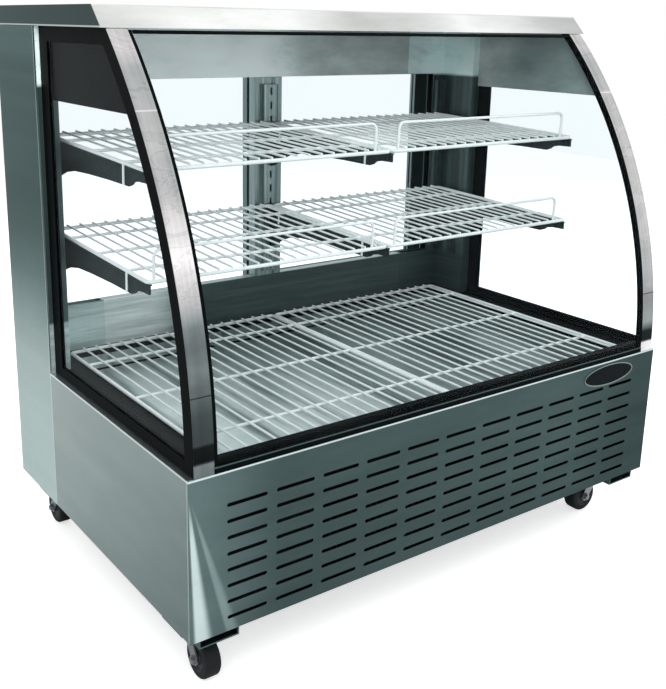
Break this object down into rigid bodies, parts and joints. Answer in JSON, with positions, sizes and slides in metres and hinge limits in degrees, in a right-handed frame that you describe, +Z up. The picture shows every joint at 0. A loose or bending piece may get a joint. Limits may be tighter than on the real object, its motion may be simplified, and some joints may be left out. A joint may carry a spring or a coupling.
{
  "type": "deli display case",
  "caption": "Refrigerated deli display case with curved front glass, wire shelves on brackets, rear sliding doors, slotted stainless base and swivel casters.",
  "frame": {"origin": "on the floor, below the middle of the case's footprint", "axes": "+Z up, +X to the customer's right along the width, +Y from the curved front glass to the sliding doors at the rear"},
  "size_m": [1.22, 0.8, 1.158],
  "materials": {
    "panel_steel": "brushed",
    "bright_steel": "polished",
    "inner_steel": "satin",
    "dark_steel": "satin",
    "black_trim": "matte",
    "black_steel": "satin",
    "white_wire": "semi-gloss coating",
    "glass": "clear",
    "zinc": "zinc plated",
    "tyre": "matte",
    "foam": "matte",
    "aluminium": "satin",
    "copper": "bright",
    "lamp": "frosted"
  },
  "bodies": {
    "cabinet": {"chassis": "black_steel", "left_base_panel": "panel_steel", "right_base_panel": "panel_steel", "front_grille": "panel_steel", "badge": "black_trim", "rear_base_panel": "panel_steel", "control_box": "black_trim", "sill_trim": "black_trim", "left_arch_trim": "bright_steel", "right_arch_trim": "bright_steel", "front_glass": "glass", "left_glass_frame": "black_trim", "right_glass_frame": "black_trim", "left_side_glass": "glass", "right_side_glass": "glass", "left_rear_post": "panel_steel", "right_rear_post": "panel_steel", "rear_sill_panel": "inner_steel", "rear_header": "inner_steel", "centre_mullion": "dark_steel", "upper_bracket_left": "dark_steel", "upper_bracket_middle": "dark_steel", "upper_bracket_right": "dark_steel", "lower_bracket_left": "dark_steel", "lower_bracket_middle": "dark_steel", "lower_bracket_right": "dark_steel", "upper_shelf_left": "white_wire", "upper_shelf_right": "white_wire", "lower_shelf_left": "white_wire", "lower_shelf_right": "white_wire", "deck_frame": "black_trim", "deck_pan": "bright_steel", "deck_rack_left": "white_wire", "deck_rack_right": "white_wire", "insulated_tub": "foam", "evaporator_coil": "aluminium", "evaporator_motor": "aluminium", "condenser_coil": "aluminium", "condenser_shroud": "black_steel", "compressor": "black_steel", "suction_line": "copper", "top_cap": "panel_steel", "ceiling_liner": "inner_steel", "lamp_tube": "lamp"},
    "front_left_caster": {"front_left_fork": "zinc"},
    "front_left_roller": {"front_left_wheel": "tyre"},
    "back_left_caster": {"back_left_fork": "zinc"},
    "back_left_roller": {"back_left_wheel": "tyre"},
    "front_right_caster": {"front_right_fork": "zinc"},
    "front_right_roller": {"front_right_wheel": "tyre"},
    "back_right_caster": {"back_right_fork": "zinc"},
    "back_right_roller": {"back_right_wheel": "tyre"},
    "left_door": {"left_door_frame": "aluminium", "left_door_glass": "glass"},
    "right_door": {"right_door_frame": "aluminium", "right_door_glass": "glass"},
    "evaporator_rotor": {"evaporator_fan": "black_trim"},
    "condenser_rotor": {"condenser_fan": "aluminium"},
    "knob": {"thermostat_knob": "black_trim"},
    "rocker": {"power_switch": "black_trim"}
  },
  "joints": [
    {"name": "front_left_swivel", "type": "hinge", "parent": "cabinet", "child": "front_left_caster", "pos_m": [-0.548, -0.302, 0.085], "axis": [0, 0, 1], "continuous": true},
    {"name": "front_left_spin", "type": "hinge", "parent": "front_left_caster", "child": "front_left_roller", "pos_m": [-0.548, -0.335, 0.038], "axis": [1, 0, 0], "continuous": true},
    {"name": "back_left_swivel", "type": "hinge", "parent": "cabinet", "child": "back_left_caster", "pos_m": [-0.548, 0.302, 0.085], "axis": [0, 0, 1], "continuous": true},
    {"name": "back_left_spin", "type": "hinge", "parent": "back_left_caster", "child": "back_left_roller", "pos_m": [-0.548, 0.335, 0.038], "axis": [1, 0, 0], "continuous": true},
    {"name": "front_right_swivel", "type": "hinge", "parent": "cabinet", "child": "front_right_caster", "pos_m": [0.548, -0.302, 0.085], "axis": [0, 0, 1], "continuous": true},
    {"name": "front_right_spin", "type": "hinge", "parent": "front_right_caster", "child": "front_right_roller", "pos_m": [0.515, -0.302, 0.038], "axis": [0, 1, 0], "continuous": true},
    {"name": "back_right_swivel", "type": "hinge", "parent": "cabinet", "child": "back_right_caster", "pos_m": [0.548, 0.302, 0.085], "axis": [0, 0, 1], "continuous": true},
    {"name": "back_right_spin", "type": "hinge", "parent": "back_right_caster", "child": "back_right_roller", "pos_m": [0.515, 0.302, 0.038], "axis": [0, 1, 0], "continuous": true},
    {"name": "left_door_slide", "type": "slide", "parent": "cabinet", "child": "left_door", "axis": [1, 0, 0], "range_m": [0, 0.54]},
    {"name": "right_door_slide", "type": "slide", "parent": "cabinet", "child": "right_door", "axis": [-1, 0, 0], "range_m": [0, 0.54]},
    {"name": "evaporator_fan_spin", "type": "hinge", "parent": "cabinet", "child": "evaporator_rotor", "pos_m": [-0.3, 0.06, 0.3583], "axis": [0, 0, 1], "continuous": true},
    {"name": "condenser_fan_spin", "type": "hinge", "parent": "cabinet", "child": "condenser_rotor", "pos_m": [-0.15, -0.2887, 0.1993], "axis": [0, 1, 0], "continuous": true},
    {"name": "thermostat_turn", "type": "hinge", "parent": "cabinet", "child": "knob", "pos_m": [-0.47, 0.387, 0.34], "axis": [0, 1, 0], "range_deg": [0, 270]},
    {"name": "power_rock", "type": "hinge", "parent": "cabinet", "child": "rocker", "pos_m": [-0.47, 0.386, 0.27], "axis": [1, 0, 0], "range_deg": [0, 24]}
  ]
}
